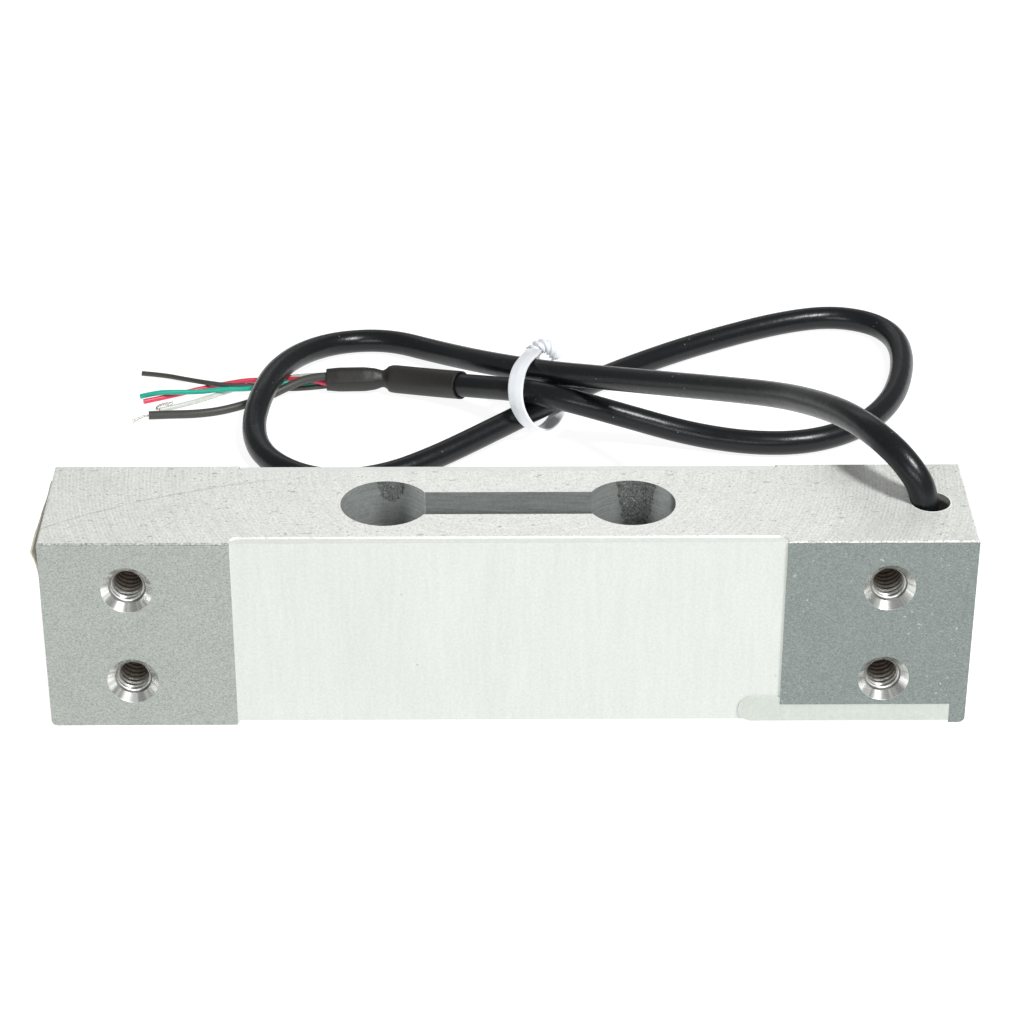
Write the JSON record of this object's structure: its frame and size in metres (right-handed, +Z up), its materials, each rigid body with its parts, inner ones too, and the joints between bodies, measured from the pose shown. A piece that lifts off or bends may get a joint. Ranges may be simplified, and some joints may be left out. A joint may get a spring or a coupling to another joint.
{
  "type": "single point load cell",
  "caption": "Aluminium single point load cell: a bar with a dumbbell-shaped flexure cut-out, tapped mounting holes at both ends and a tied cable with bare wire ends.",
  "frame": {"origin": "middle of the beam's bottom face", "axes": "+X along the beam towards the end with the cable, +Y towards the back gauge face, +Z up through the flexure cut-out"},
  "size_m": [0.1374, 0.1275, 0.0385],
  "materials": {
    "beam_aluminium": "milled",
    "white_sealant": "satin",
    "cream_potting": "satin",
    "gauge_film": "satin",
    "copper": "polished",
    "circuit_board": "satin",
    "resistor_body": "satin",
    "label_film": "satin",
    "black_pvc": "gloss",
    "shrink_tube": "satin",
    "red_insulation": "gloss",
    "green_insulation": "gloss",
    "black_insulation": "gloss",
    "white_insulation": "gloss",
    "tinned_copper": "bright",
    "tie_plastic": "satin"
  },
  "bodies": {
    "root": {"beam": "beam_aluminium", "front_sealant": "white_sealant", "back_sealant": "white_sealant", "channel_potting": "cream_potting", "end_label": "label_film", "cable": "black_pvc", "heat_shrink": "shrink_tube", "wire_red": "red_insulation", "wire_green": "green_insulation", "wire_black": "black_insulation", "wire_white": "white_insulation", "shield_sleeve": "black_insulation", "drain_strand": "tinned_copper", "white_strand": "tinned_copper", "twist_tie": "tie_plastic", "zero_trim_resistor": "resistor_body", "span_resistor": "resistor_body", "bridge_wire_red": "red_insulation", "bridge_wire_green": "green_insulation", "bridge_wire_black": "black_insulation", "bridge_wire_white": "white_insulation", "gauge_front_left": "gauge_film", "gauge_front_right": "gauge_film", "terminal_front": "circuit_board", "leads_front": "copper", "gauge_back_left": "gauge_film", "gauge_back_right": "gauge_film", "terminal_back": "circuit_board", "leads_back": "copper"}
  },
  "joints": []
}
